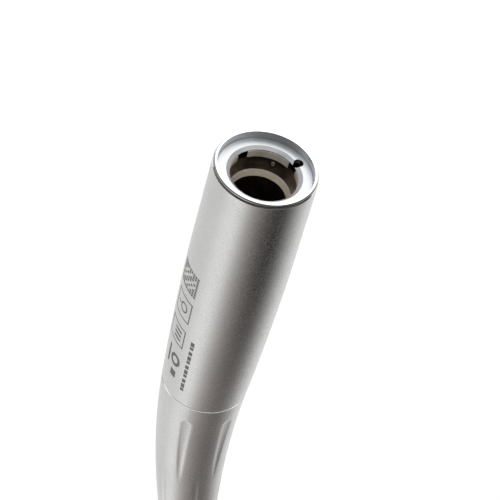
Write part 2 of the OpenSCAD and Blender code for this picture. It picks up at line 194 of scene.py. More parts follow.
def rounded(corners: list[tuple[float, float, float]], closed: bool = True) -> np.ndarray:
    """A profile whose corners are arcs, with points close beside each arc and along each straight.

    A corner with fillet radius f is cut back by f / tan(half its angle) along both sides, and an
    arc of that radius joins the two ends. The extra points keep the flats shading flat.

    Args:
        corners: (radius, distance, fillet radius) of each corner, in mm.
        closed: Whether the last corner joins the first.

    Returns:
        An array of (radius, distance) points, in mm.
    """
    points = np.array([c[:2] for c in corners], float)
    count = len(points)
    arcs = []
    for i, (corner, fillet) in enumerate(zip(points, (c[2] for c in corners))):
        back = points[i - 1] - corner
        ahead = points[(i + 1) % count] - corner
        end = not closed and i in (0, count - 1)
        if end or fillet <= 0:
            arcs.append(corner[None])
            continue
        back_way, ahead_way = back / np.linalg.norm(back), ahead / np.linalg.norm(ahead)
        half = math.acos(float(np.clip(back_way @ ahead_way, -1, 1))) / 2
        reach = min(fillet / math.tan(half), 0.45 * min(np.linalg.norm(back), np.linalg.norm(ahead)))
        bisector = (back_way + ahead_way) / np.linalg.norm(back_way + ahead_way)
        centre = corner + bisector * reach / math.cos(half)
        start, stop = corner + back_way * reach - centre, corner + ahead_way * reach - centre
        turn = math.atan2(start[0] * stop[1] - start[1] * stop[0], float(start @ stop))
        steps = np.linspace(0, turn, 6)
        arcs.append(centre + np.stack([start[0] * np.cos(steps) - start[1] * np.sin(steps),
                                       start[0] * np.sin(steps) + start[1] * np.cos(steps)], -1))
    line = []
    for i, arc in enumerate(arcs):
        line.append(arc)
        if i == count - 1 and not closed:
            break
        start, stop = arc[-1], arcs[(i + 1) % count][0]
        length = float(np.linalg.norm(stop - start))
        near = min(0.04, length * 0.2)
        inner = np.linspace(near, length - near, max(2, int(length / 1.5) + 2))
        line.append(start + (stop - start) * (inner / length)[:, None])
    return np.concatenate(line)


def grid_faces(rows: int, cols: int, close_rows: bool, close_cols: bool) -> np.ndarray:
    """Quads that join each point of a grid to its next row and column.

    Args:
        rows: Number of rows of points.
        cols: Number of points in a row.
        close_rows: Whether the last row joins the first.
        close_cols: Whether the last column joins the first.

    Returns:
        An array of four point numbers for each quad.
    """
    i, j = np.meshgrid(np.arange(rows if close_rows else rows - 1),
                       np.arange(cols if close_cols else cols - 1), indexing="ij")
    i, j = i.ravel(), j.ravel()
    down, along = (i + 1) % rows, (j + 1) % cols
    return np.stack([i * cols + j, i * cols + along, down * cols + along, down * cols + j], -1)


def tidy_mesh(mesh: bpy.types.Mesh, sharp_deg: float, recalculate: bool = True) -> None:
    """Merges doubled points, turns faces outwards, and shades smooth between sharp edges.

    Args:
        mesh: The mesh, changed in place.
        sharp_deg: Edges that bend more than this stay sharp.
        recalculate: Whether to turn the faces outwards, which a closed shell needs.
    """
    work = bmesh.new()
    work.from_mesh(mesh)
    bmesh.ops.remove_doubles(work, verts=work.verts, dist=2e-7)
    bmesh.ops.dissolve_degenerate(work, edges=work.edges, dist=1e-8)
    if recalculate:
        bmesh.ops.recalc_face_normals(work, faces=work.faces)
    work.to_mesh(mesh)
    work.free()
    mesh.shade_smooth()
    mesh.set_sharp_from_angle(angle=math.radians(sharp_deg))


def add_object(name: str, data: bpy.types.ID) -> bpy.types.Object:
    """A new object of that name for a mesh or camera, linked to the scene."""
    made = bpy.data.objects.new(name, data)
    bpy.context.scene.collection.objects.link(made)
    return made


def new_piece(name: str, points: np.ndarray, faces: np.ndarray, sharp_deg: float = 32.0,
              recalculate: bool = True) -> bpy.types.Object:
    """A new object at the origin, with its place in its mesh.

    Args:
        name: The piece's name.
        points: Points in the row frame, in mm.
        faces: Point numbers of each face.
        sharp_deg: Edges that bend more than this stay sharp.
        recalculate: Whether the shell is closed, so that its faces can be turned outwards.

    Returns:
        The object, linked to the scene.
    """
    mesh = bpy.data.meshes.new(name)
    mesh.from_pydata((points.reshape(-1, 3) * MM).tolist(), [], faces.tolist())
    tidy_mesh(mesh, sharp_deg, recalculate)
    return add_object(name, mesh)


def revolved(name: str, axis: Axis, profile: np.ndarray, cols: int = 192,
             closed: bool = True) -> bpy.types.Object:
    """A turned piece: the profile's radius carried round the axis at each of its distances.

    Args:
        name: The piece's name.
        axis: The axis that it is turned about.
        profile: (radius, distance) points, in mm; an open one starts and ends on the axis.
        cols: Number of steps round the axis.
        closed: Whether the profile is a closed loop.

    Returns:
        The object.
    """
    angle = np.linspace(0, 2 * math.pi, cols, endpoint=False)
    radius = profile[:, 0][:, None]
    points = np.stack([radius * np.cos(angle), radius * np.sin(angle),
                       np.broadcast_to(-profile[:, 1][:, None], (len(profile), cols))], -1)
    return new_piece(name, axis.place(points), grid_faces(len(profile), cols, closed, True))


def block(centre: tuple[float, float, float], size: tuple[float, float, float],
          azimuth: float) -> bpy.types.Object:
    """A box for cutting, centred at a radius, offset and height, and turned round the rear axis.

    Args:
        centre: Its centre before the turn, in mm.
        size: Its whole sizes, in mm.
        azimuth: The turn, in degrees.

    Returns:
        The object.
    """
    signs = np.array([[x, y, z] for x in (-1, 1) for y in (-1, 1) for z in (-1, 1)], float)
    local = signs * np.array(size) / 2 + np.array(centre)
    turn = math.radians(azimuth)
    way = np.array([[math.cos(turn), -math.sin(turn), 0], [math.sin(turn), math.cos(turn), 0],
                    [0, 0, 1]])
    faces = np.array([[0, 1, 3, 2], [4, 6, 7, 5], [0, 4, 5, 1], [2, 3, 7, 6], [0, 2, 6, 4],
                      [1, 5, 7, 3]])
    return new_piece("cutter", local @ way.T, faces)


def drill(start: np.ndarray, stop: np.ndarray, radius: float) -> bpy.types.Object:
    """A round rod for cutting, from start to stop.

    Args:
        start: The middle of one end, in mm.
        stop: The middle of the other end, in mm.
        radius: Its radius, in mm.

    Returns:
        The object.
    """
    along = (stop - start) / np.linalg.norm(stop - start)
    side = np.cross(along, [0.0, 0.0, 1.0] if abs(along[2]) < 0.9 else [1.0, 0.0, 0.0])
    side /= np.linalg.norm(side)
    other = np.cross(along, side)
    angle = np.linspace(0, 2 * math.pi, 48, endpoint=False)[:, None]
    ring = radius * (np.cos(angle) * side + np.sin(angle) * other)
    rings = np.stack([np.broadcast_to(start, ring.shape), start + ring, stop + ring,
                      np.broadcast_to(stop, ring.shape)])
    return new_piece("cutter", rings, grid_faces(4, 48, False, True))


def cut(piece: bpy.types.Object, cutters: list[bpy.types.Object]) -> None:
    """Takes the cutters away from a piece and removes them.

    Args:
        piece: The piece, whose mesh is replaced.
        cutters: The solids to take away.
    """
    for cutter in cutters:
        modifier = piece.modifiers.new("cut", "BOOLEAN")
        modifier.operation = "DIFFERENCE"
        modifier.solver = "EXACT"
        modifier.object = cutter
        graph = bpy.context.evaluated_depsgraph_get()
        mesh = bpy.data.meshes.new_from_object(piece.evaluated_get(graph))
        piece.modifiers.clear()
        piece.data = mesh
        bpy.data.objects.remove(cutter)
    tidy_mesh(piece.data, 30.0, recalculate=False)


# ------------------------------------------------------------------ finishes


def linear(hex_colour: str) -> tuple[float, float, float, float]:
    """Turns an sRGB hex colour to linear light.

    Args:
        hex_colour: Six hex digits after a hash sign.

    Returns:
        Red, green, blue and an alpha of 1.
    """
    srgb = np.array([int(hex_colour[i:i + 2], 16) for i in (1, 3, 5)]) / 255
    light = np.where(srgb <= 0.04045, srgb / 12.92, ((srgb + 0.055) / 1.055) ** 2.4)
    return (*light.tolist(), 1.0)


def add(material: bpy.types.Material, kind: str, sockets: dict[str | int, object] | None = None,
        **settings: object) -> bpy.types.Node:
    """Adds a node, sets its settings, and sets or links its sockets.

    Args:
        material: The material, or a world, whose tree gets the node.
        kind: The node's type without its ShaderNode prefix.
        sockets: Values or output sockets for its inputs, by name or number.
        settings: Settings of the node itself.

    Returns:
        The node.
    """
    node = material.node_tree.nodes.new("ShaderNode" + kind)
    for name, value in settings.items():
        setattr(node, name, value)
    for name, value in (sockets or {}).items():
        if isinstance(value, bpy.types.NodeSocket):
            material.node_tree.links.new(value, node.inputs[name])
        else:
            node.inputs[name].default_value = value
    return node


def blank_material(name: str) -> bpy.types.Material:
    """An empty node material of that name."""
    material = bpy.data.materials.new(name)
    material.use_nodes = True
    material.node_tree.nodes.clear()
    return material


@dataclass(frozen=True)
class MetalFinish:
    """A metal surface with a fine grain, faint patches of colour, and turning lines if it has any.

    Attributes:
        name: The material's name: what it is and how its surface was made.
        light_hex: Its colour where it is cleanest.
        dull_hex: Its colour where it is most worn or stained.
        roughness: Its lowest and highest roughness.
        grain_mm: Size of the grain, drawn as coarse as it needs to show.
        grain_depth_mm: Height of the grain.
        patch_mm: Size of the patches of colour.
        line_mm: Spacing of the turning lines, or 0 for none.
        line_depth_mm: Height of the turning lines.
        metallic: How far it reflects as a metal.
    """

    name: str
    light_hex: str
    dull_hex: str
    roughness: tuple[float, float]
    grain_mm: float = 0.25
    grain_depth_mm: float = 0.001
    patch_mm: float = 6.0
    line_mm: float = 0.0
    line_depth_mm: float = 0.0
    metallic: float = 1.0

    def build(self, axis: Axis = REAR) -> bpy.types.Material:
        """Makes the material, with its turning lines round an axis.

        The lines are noise on one number: the distance from the axis less the distance along it,
        so that they run round both flat faces and walls.

        Args:
            axis: The axis that the piece was turned about.

        Returns:
            The material, made once for each axis.
        """
        full_name = f"{self.name}_{axis.name}"
        if full_name in bpy.data.materials:
            return bpy.data.materials[full_name]
        material = blank_material(full_name)
        place = add(material, "TexCoord").outputs["Object"]
        own = add(material, "Mapping", {"Vector": place}, vector_type="TEXTURE")
        own.inputs["Location"].default_value = Vector(axis.origin) * MM
        own.inputs["Rotation"].default_value = (0.0, math.radians(axis.tilt_deg), 0.0)
        grain = add(material, "TexNoise", {"Vector": own.outputs[0], "Detail": 3.0,
                                           "Roughness": 0.6, "Scale": 1 / (self.grain_mm * MM)})
        patch = add(material, "TexNoise", {"Vector": own.outputs[0], "Detail": 4.0,
                                           "Scale": 1 / (self.patch_mm * MM)})
        colour = add(material, "ValToRGB", {"Fac": patch.outputs["Fac"]})
        colour.color_ramp.elements[0].position = 0.3
        colour.color_ramp.elements[0].color = linear(self.dull_hex)
        colour.color_ramp.elements[1].position = 0.6
        colour.color_ramp.elements[1].color = linear(self.light_hex)
        rough = add(material, "MapRange", {"Value": grain.outputs["Fac"], "From Min": 0.3,
                                           "From Max": 0.7, "To Min": self.roughness[0],
                                           "To Max": self.roughness[1]})
        bump = add(material, "Bump", {"Height": grain.outputs["Fac"], "Strength": 1.0,
                                      "Distance": self.grain_depth_mm * MM})
        if self.line_mm > 0:
            parts = add(material, "SeparateXYZ", {"Vector": own.outputs[0]})
            flat = add(material, "CombineXYZ", {"X": parts.outputs["X"], "Y": parts.outputs["Y"]})
            out = add(material, "VectorMath", {0: flat.outputs[0]}, operation="LENGTH")
            run = add(material, "Math", {0: out.outputs["Value"], 1: parts.outputs["Z"]},
                      operation="SUBTRACT")
            lines = add(material, "TexNoise", {"W": run.outputs[0], "Detail": 2.0,
                                               "Scale": 1 / (self.line_mm * MM)},
                        noise_dimensions="1D")
            bump = add(material, "Bump", {"Height": lines.outputs["Fac"], "Strength": 1.0,
                                          "Distance": self.line_depth_mm * MM,
                                          "Normal": bump.outputs[0]})
        shader = add(material, "BsdfPrincipled", {"Base Color": colour.outputs["Color"],
                                                  "Metallic": self.metallic,
                                                  "Roughness": rough.outputs["Result"],
                                                  "Normal": bump.outputs[0]})
        add(material, "OutputMaterial", {"Surface": shader.outputs[0]})
        return material


@dataclass(frozen=True)
class DullFinish:
    """A plain non-metal surface with a fine grain.

    Attributes:
        name: The material's name.
        light_hex: Its colour at the top of the grain.
        dull_hex: Its colour at the bottom of the grain.
        roughness: Its roughness.
        grain_mm: Size of the grain.
        grain_depth_mm: Height of the grain.
        ior: Its index of refraction.
    """

    name: str
    light_hex: str
    dull_hex: str
    roughness: float
    grain_mm: float
    grain_depth_mm: float
    ior: float = 1.5

    def build(self) -> bpy.types.Material:
        """Makes the material.

        Returns:
            The material, made once.
        """
        if self.name in bpy.data.materials:
            return bpy.data.materials[self.name]
        material = blank_material(self.name)
        place = add(material, "TexCoord").outputs["Object"]
        grain = add(material, "TexNoise", {"Vector": place, "Detail": 3.0,
                                           "Scale": 1 / (self.grain_mm * MM)})
        colour = add(material, "ValToRGB", {"Fac": grain.outputs["Fac"]})
        colour.color_ramp.elements[0].position = 0.35
        colour.color_ramp.elements[0].color = linear(self.dull_hex)
        colour.color_ramp.elements[1].position = 0.65
        colour.color_ramp.elements[1].color = linear(self.light_hex)
        bump = add(material, "Bump", {"Height": grain.outputs["Fac"], "Strength": 1.0,
                                      "Distance": self.grain_depth_mm * MM})
        shader = add(material, "BsdfPrincipled", {"Base Color": colour.outputs["Color"],
                                                  "Roughness": self.roughness, "IOR": self.ior,
                                                  "Normal": bump.outputs[0]})
        add(material, "OutputMaterial", {"Surface": shader.outputs[0]})
        return material


# Stainless steel, bead-blasted and then chromed: pale, even, with a soft satin glow. The blasting
# is about 0.05 mm and is drawn at 0.34 mm, so that it shows.
SATIN_CHROME = MetalFinish("satin_chromed_steel", "#d6d6d5", "#d1d1cf", (0.2, 0.42),
                           grain_mm=0.34, grain_depth_mm=0.005, patch_mm=9.0)
# Stainless steel, lapped bright: nearly white, with sharp reflections.
POLISHED_STEEL = MetalFinish("lapped_stainless_steel", "#eeeeec", "#e4e4e2", (0.08, 0.14),
                             grain_mm=0.3, grain_depth_mm=0.0002)
# Stainless steel, fine turned: bright, with rings left by the tool about 0.06 mm apart, drawn at
# 0.14 mm.
TURNED_STEEL = MetalFinish("fine_turned_stainless_steel", "#c6c8c9", "#babcbd", (0.2, 0.28),
                           grain_mm=0.3, grain_depth_mm=0.0004, line_mm=0.14,
                           line_depth_mm=0.0012)
# Stainless steel, faced and then blasted lightly: pale and soft, so that it mirrors nothing sharply.
# Its paleness is partly painted light on the upward-facing ledge.
FACED_PAINTED_LIGHT_STEEL = MetalFinish("faced_blasted_steel_painted_light", "#e4e6e8", "#dadddf", (0.36, 0.46),
                          grain_mm=0.2, grain_depth_mm=0.001, line_mm=0.16, line_depth_mm=0.0012)
# Steel tempered to a faint brown, turned.
TEMPERED_STEEL = MetalFinish("tempered_turned_steel", "#d9cfc4", "#c3b8ac", (0.5, 0.62),
                             line_mm=0.18, line_depth_mm=0.0012, patch_mm=2.5, metallic=0.55)
# Dark warm steel, a little shiny: the guide bush's own dark steel, and painted shade on the walls of
# the slotted ring's undercut.
DARK_STEEL_AND_PAINTED_SHADE = MetalFinish("dark_warm_steel_and_painted_shade", "#8f8478", "#6c6259", (0.3, 0.4),
                          line_mm=0.2, line_depth_mm=0.001, patch_mm=2.5)
# Pale warm steel, lighter than the bush: a painted highlight on the guide bush's chamfer.
PAINTED_HIGHLIGHT_STEEL = MetalFinish("painted_highlight_steel", "#f0e5d4", "#ded2c0", (0.3, 0.4),
                           line_mm=0.15, line_depth_mm=0.0008, patch_mm=3.0, metallic=0.55)
# Stainless steel bored in one pass: greyer than the faces, and softly ringed.
BORED_STEEL = MetalFinish("bored_stainless_steel", "#d0d4d7", "#c0c4c8", (0.3, 0.4),
                          line_mm=0.16, line_depth_mm=0.0012)
# Steel ground between centres: cool grey and smooth.
GROUND_STEEL = MetalFinish("ground_tool_steel", "#c2c4c6", "#b2b4b6", (0.16, 0.24),
                           line_mm=0.1, line_depth_mm=0.0006)
# Bearing steel, superfinished: bright, with hardly any grain.
BEARING_STEEL = MetalFinish("superfinished_bearing_steel", "#d8dadb", "#ccced0", (0.06, 0.11),
                            grain_depth_mm=0.0002)
# Case-hardened steel, cut and shot-peened: straw-tinted where the heat touched it.
GEAR_STEEL = MetalFinish("case_hardened_gear_steel", "#c0b7a4", "#a3998a", (0.24, 0.34),
                         grain_mm=0.12, grain_depth_mm=0.001, patch_mm=1.8)
# Steel blackened in an oxide bath: dark grey with a low sheen, for the dark steel parts. In the
# coupling, the same dark grey is painted shade in the slots and the keyhole.
BLACK_OXIDE_AND_PAINTED_SHADE = MetalFinish("black_oxide_and_painted_shade", "#5b5c5e", "#434446", (0.32, 0.42),
                              grain_mm=0.15, grain_depth_mm=0.0008)
# Aluminium, turned and anodised clear: soft grey.
CLEAR_ANODISED = MetalFinish("clear_anodised_aluminium", "#b9bbbd", "#a9abae", (0.34, 0.44),
                             grain_mm=0.2, grain_depth_mm=0.0006, line_mm=0.2,
                             line_depth_mm=0.001)
# Brass shim stock, rolled: yellow, with a dull film.
ROLLED_BRASS = MetalFinish("rolled_brass", "#c9a85a", "#a98743", (0.25, 0.35), grain_mm=0.2,
                           grain_depth_mm=0.0006, patch_mm=2.0)
# Spring wire, drawn and passivated: grey with a soft gleam.
SPRING_WIRE = MetalFinish("drawn_spring_wire", "#9fa1a3", "#85878a", (0.22, 0.32), grain_mm=0.1,
                          grain_depth_mm=0.0005)
# Fluoro rubber, moulded: black and matt.
SEAL_RUBBER = DullFinish("moulded_fluoro_rubber", "#2a2a2b", "#1b1b1c", 0.6, 0.15, 0.002)
# Steel darkened by a laser: matt grey-brown oxide.
LASER_MARK = DullFinish("laser_darkened_steel", "#6d6a64", "#4b4843", 0.55, 0.12, 0.001)

SLOT_FINISH = {
    "satin_sleeve": SATIN_CHROME, "polished_steel": POLISHED_STEEL, "coupling_steel": TURNED_STEEL,
    "bronzed_steel": TEMPERED_STEEL, "dark_steel": BLACK_OXIDE_AND_PAINTED_SHADE,
    "housing_aluminium": CLEAR_ANODISED, "gear_steel": GEAR_STEEL, "bearing_steel": BEARING_STEEL,
    "shaft_steel": GROUND_STEEL, "washer_brass": ROLLED_BRASS, "seal_rubber": SEAL_RUBBER,
    "spring_steel": SPRING_WIRE,
}


def dress(piece: bpy.types.Object, material: bpy.types.Material) -> None:
    """Gives a piece one material in place of all it has."""
    piece.data.materials.clear()
    piece.data.materials.append(material)


def settle(piece: bpy.types.Object, material: bpy.types.Material, body: Body, slot: Slot,
           *nodes: str) -> bpy.types.Object:
    """Dresses a piece, and says which body it rides on and what it replaces.

    Args:
        piece: The finished piece.
        material: Its material.
        body: The body that it rides on.
        slot: The record's slot that it takes its finish from; not used.
        nodes: The CAD nodes that it stands for.

    Returns:
        The piece.
    """
    dress(piece, material)
    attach(piece, body.value)
    if nodes:
        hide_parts(*nodes)
    log.info("%s: %d faces, rides on %s", piece.name, len(piece.data.polygons), body.value)
    return piece


def finish_band(piece: bpy.types.Object, finish: MetalFinish, reach_mm: tuple[float, float],
                place_mm: tuple[float, float]) -> None:
    """Gives the faces of one band of a piece on the rear axis a finish of its own.

    Args:
        piece: The piece.
        finish: The band's finish.
        reach_mm: Least and greatest distance of the faces' middles from the axis.
        place_mm: Least and greatest place of the faces' middles along the axis.
    """
    faces = piece.data.polygons
    middle = np.empty(len(faces) * 3)
    number = np.empty(len(faces), np.int32)
    faces.foreach_get("center", middle)
    faces.foreach_get("material_index", number)
    middle = middle.reshape(-1, 3) / MM
    reach = np.hypot(middle[:, 0], middle[:, 1])
    place = -middle[:, 2]
    band = ((reach > reach_mm[0]) & (reach < reach_mm[1])
            & (place > place_mm[0] - 0.001) & (place < place_mm[1]))
    number[band] = len(piece.data.materials)
    piece.data.materials.append(finish.build())
    faces.foreach_set("material_index", number)


# ------------------------------------------------------------------ sub-assemblies


@dataclass
class GripSleeve:
    """The straight rear sleeve that the hand holds, with its etched marks.

    Attributes:
        shoulder_r: Radius where the bevelled shoulder starts, at the coupling.
        shoulder_s: Place where the shoulder starts.
        full_s: Place where it reaches the full radius.
        mark_lift: Height of the marks over the sleeve.
    """

    shoulder_r: float = 9.8
    shoulder_s: float = 0.42
    full_s: float = 0.72
    mark_lift: float = 0.008

    def build(self) -> None:
        """Makes the sleeve and its marks.

        The outside is a narrow bevel at the shoulder, with its foot eased by an arc, and then the
        body's radius in even steps; the inside is stepped for the parts within.
        """
        shoulder = rounded([(self.shoulder_r, self.shoulder_s, 0.0), (GRIP_R, self.full_s, 0.15),
                            (GRIP_R, 1.4, 0.0)], closed=False)
        s = np.linspace(1.6, SEAM_S - 0.2, 60)
        outside = np.stack([body_radius(s), s], -1)
        edge = float(body_radius(np.array(SEAM_S)))
        rest = rounded([(edge, SEAM_S - 0.12, 0.0), (edge - 0.1, SEAM_S, 0.0), (7.9, SEAM_S, 0.03),
                        (7.9, 52.47, 0.05), (8.6, 52.47, 0.05), (8.6, 26.6, 0.05),
                        (9.3, 26.0, 0.05), (9.3, 2.02, 0.05), (9.8, 2.02, 0.03),
                        (9.8, self.shoulder_s + 0.03, 0.0)], closed=False)
        profile = np.concatenate([shoulder, outside, rest])
        sleeve = revolved("grip_sleeve", REAR, profile, cols=256)
        settle(sleeve, SATIN_CHROME.build(), Body.ROOT, Slot.SLEEVE, "rear_sleeve")
        finish_band(sleeve, POLISHED_STEEL, (9.7, 9.998), (0.3, 0.9))
        self.etch()

    def patch(self, s: np.ndarray, arc: np.ndarray, azimuth: float) -> np.ndarray:
        """Puts a flat grid on the sleeve: s along it, and arc lengths round it from an azimuth.

        Args:
            s: Places along the sleeve, in mm.
            arc: Arc lengths, in mm.
            azimuth: Where the arc lengths start, in degrees.

        Returns:
            Points in the row frame, in mm.
        """
        radius = body_radius(s) + self.mark_lift
        angle = math.radians(azimuth) + arc / GRIP_R
        return np.stack([radius * np.cos(angle), radius * np.sin(angle), -s], -1)

    def etch(self) -> None:
        """Makes the marks: plain shapes with no meaning, where the sleeve carries its marks.

        Each is a bar, ring or disc, as a grid of points in s and arc length, laid on the sleeve.
        """
        patches = []

        def bar(s0: float, s1: float, arc0: float, arc1: float, azimuth: float) -> None:
            """A bar from s0 to s1 and from arc0 to arc1, in steps of about 0.4 mm."""
            rows = max(2, int(abs(s1 - s0) / 0.8) + 2)
            cols = max(2, int(abs(arc1 - arc0) / 0.3) + 2)
            s, arc = np.meshgrid(np.linspace(s0, s1, rows), np.linspace(arc0, arc1, cols),
                                 indexing="ij")
            patches.append((self.patch(s, arc, azimuth), rows, cols, False))

        def ring(s_mid: float, arc_mid: float, inner: float, outer: float, azimuth: float) -> None:
            """A ring, or a disc where inner is nearly 0, as polar rows from inner to outer."""
            turn = np.linspace(0, 2 * math.pi, 48, endpoint=False)
            reach = np.linspace(inner, outer, 5)[:, None]
            patches.append((self.patch(s_mid + reach * np.cos(turn), arc_mid + reach * np.sin(turn),
                                       azimuth), 5, 48, True))

        def box(s0: float, s1: float, width: float, line: float, azimuth: float) -> None:
            """The outline of a box, from four bars of one line width."""
            bar(s0, s1, 0.0, -line, azimuth)
            bar(s0, s1, line - width, -width, azimuth)
            bar(s0, s0 + line, -line, line - width, azimuth)
            bar(s1 - line, s1, -line, line - width, azimuth)

        for row in range(8):
            for col in range(9):
                if (row * 3 + col * 2) % 5 < 3 or row in (0, 7) or col in (0, 8):
                    s0 = 25.6 + row * 0.72
                    bar(s0, s0 + 0.56, 0.3 - col * 0.74, -0.24 - col * 0.74, -94.0)
        box(33.2, 38.9, 6.0, 0.28, -92.5)
        ring(36.0, -2.4, 0.9, 1.25, -92.5)
        bar(35.9, 36.2, -3.8, -5.0, -92.5)
        box(41.2, 46.4, 6.0, 0.28, -93.0)
        for row in range(3):
            bar(42.4 + row * 1.15, 42.9 + row * 1.15, -1.1, -3.6, -93.0)
        ring(50.9, -1.9, 0.9, 1.65, -90.0)
        bar(48.6, 53.6, -4.2, -4.95, -90.0)
        bar(53.9, 55.7, -0.9, -2.7, -90.0)
        for step in range(11):
            length = (1.2, 0.8, 1.05)[step % 3]
            bar(42.3 + step * 1.42, 42.3 + step * 1.42 + length, 0.35, -0.55, -79.5)
        points = np.concatenate([p.reshape(-1, 3) for p, _, _, _ in patches])
        starts = np.cumsum([0] + [rows * cols for _, rows, cols, _ in patches])
        faces = np.concatenate([grid_faces(rows, cols, False, closed) + start
                                for (_, rows, cols, closed), start in zip(patches, starts)])
        marks = new_piece("etched_marks", points, faces, recalculate=False)
        work = bmesh.new()
        work.from_mesh(marks.data)
        inward = [f for f in work.faces
                  if f.normal.x * f.calc_center_median().x + f.normal.y * f.calc_center_median().y < 0]
        bmesh.ops.reverse_faces(work, faces=inward)
        work.to_mesh(marks.data)
        work.free()
        settle(marks, LASER_MARK.build(), Body.ROOT, Slot.SLEEVE)


@dataclass
class FingerSleeve:
    """The bent front sleeve, with two staggered rows of drop-shaped finger flutes.

    Attributes:
        flute_depth: Depth of a flute in its middle.
        half_deg: Half the width of a flute at its widest, in degrees round the sleeve.
        rows: (first centre in degrees, rounded end, pointed end) of each row, along s.
        least_deg: Half the width that a flute's columns keep where there is no flute.
        start_rate: How many times the rounded end would fit into the flute's length.
        width_power: Power by which the width narrows to the pointed end.
        fade_share: Part of the length over which the depth runs out at the pointed end.
    """

    flute_depth: float = 0.15
    half_deg: float = 8.4
    rows: tuple[tuple[float, float, float], ...] = ((-2.6, 65.7, 87.0), (27.4, 103.5, 82.5))
    least_deg: float = 0.9
    start_rate: float = 14.0
    width_power: float = 0.5
    fade_share: float = 0.45

    def half_width(self, s: np.ndarray, wide: float, point: float) -> np.ndarray:
        """Half a flute's width: a quarter ellipse over its rounded end, then a root of what is left.

        Args:
            s: Places along the sleeve, in mm.
            wide: Place of the rounded end.
            point: Place of the pointed end.

        Returns:
            Half the width in degrees, 0 outside the flute.
        """
        along = (s - wide) / (point - wide)
        start = np.clip(along * self.start_rate, 0, 1)
        taper = np.clip(1 - along, 0, 1) ** self.width_power
        width = self.half_deg * np.sqrt(start * (2 - start)) * taper
        return np.where((along > 0) & (along < 1), width, 0.0)

    def build(self) -> None:
        """Makes the sleeve.

        The columns of the grid crowd between the edges of each flute, so that the edges are lines
        of the grid. A flute's depth is one less x squared across it, where x is 1 at its edge,
        times one less (1 - q) cubed over its rounded end, times an ease over its last part.
        """
        dense = [wide + (point - wide) * np.array([0, 0.0006, 0.002, 0.004, 0.008, 0.013, 0.02, 0.03,
                                                   0.04, 0.052, 0.066, 0.083, 0.1])
                 for _, wide, point in self.rows]
        s = np.unique(np.concatenate([np.linspace(SEAM_S + 0.2, SLEEVE_END_S - 0.2, 150), *dense]))
        inside = np.linspace(-1, 1, 15)
        between = np.linspace(0, 1, 8)[1:-1]
        centres = self.rows[0][0] + np.arange(FLUTE_COUNT) * FLUTE_STEP
        width = [np.maximum(self.least_deg, self.half_width(s, *self.rows[k % 2][1:]))
                 for k in range(FLUTE_COUNT)]
        columns = []
        for k in range(FLUTE_COUNT):
            columns.append(centres[k] + width[k][:, None] * inside)
            start, stop = centres[k] + width[k], centres[k] + FLUTE_STEP - width[(k + 1) % FLUTE_COUNT]
            columns.append(start[:, None] + (stop - start)[:, None] * between)
        angle = np.concatenate(columns, axis=1)
        depth = np.zeros_like(angle)
        for phase, wide, point in self.rows:
            half = self.half_width(s, wide, point)[:, None]
            off = np.abs((angle - phase + 13 * FLUTE_STEP) % (2 * FLUTE_STEP) - FLUTE_STEP)
            across = np.clip(1 - (off / np.maximum(half, 1e-6)) ** 2, 0, 1)
            along = ((s - wide) / (point - wide))[:, None]
            steep = 1 - (1 - np.clip(along * self.start_rate, 0, 1)) ** 3
            fade = ease((1 - along) / self.fade_share)
            depth += self.flute_depth * across * steep * fade * (half > 0)
        around = np.radians(angle)
        radius = body_radius(s)[:, None] - depth
        outside = bent(np.broadcast_to(s[:, None], angle.shape), around, radius)
        ends = [self.ring(around[-1], SLEEVE_END_S - 0.05, -0.02),
                self.ring(around[-1], SLEEVE_END_S, -0.1), self.ring(around[-1], SLEEVE_END_S, -0.9)]
        bore_s = np.linspace(SLEEVE_END_S - 0.3, SEAM_S + 0.05, 24)
        bore_r = np.where(bore_s < 70.2, 7.15, body_radius(bore_s) - 1.1)
        bore = [bent(np.full_like(around[-1], place), around[-1], np.full_like(around[-1], reach))
                for place, reach in zip(bore_s, bore_r)]
        seam = [self.ring(around[0], SEAM_S + 0.05, -0.26), self.ring(around[0], SEAM_S + 0.06, -0.22),
                self.ring(around[0], SEAM_S + 0.19, -0.02)]
        points = np.stack([*outside, *ends, *bore, *seam])
        sleeve = new_piece("finger_sleeve", points,
                           grid_faces(len(points), angle.shape[1], True, True), sharp_deg=24.0)
        settle(sleeve, SATIN_CHROME.build(), Body.ROOT, Slot.SLEEVE, "front_sleeve")
        finish_band(sleeve, POLISHED_STEEL, (7.4, 9.0), (SEAM_S - 0.1, SEAM_S + 0.19))

    def ring(self, around: np.ndarray, s: float, step: float) -> np.ndarray:
        """A ring of points round the centreline at s, at the body's radius plus a step."""
        reach = float(body_radius(np.array(s))) + step
        return bent(np.full_like(around, s), around, np.full_like(around, reach))


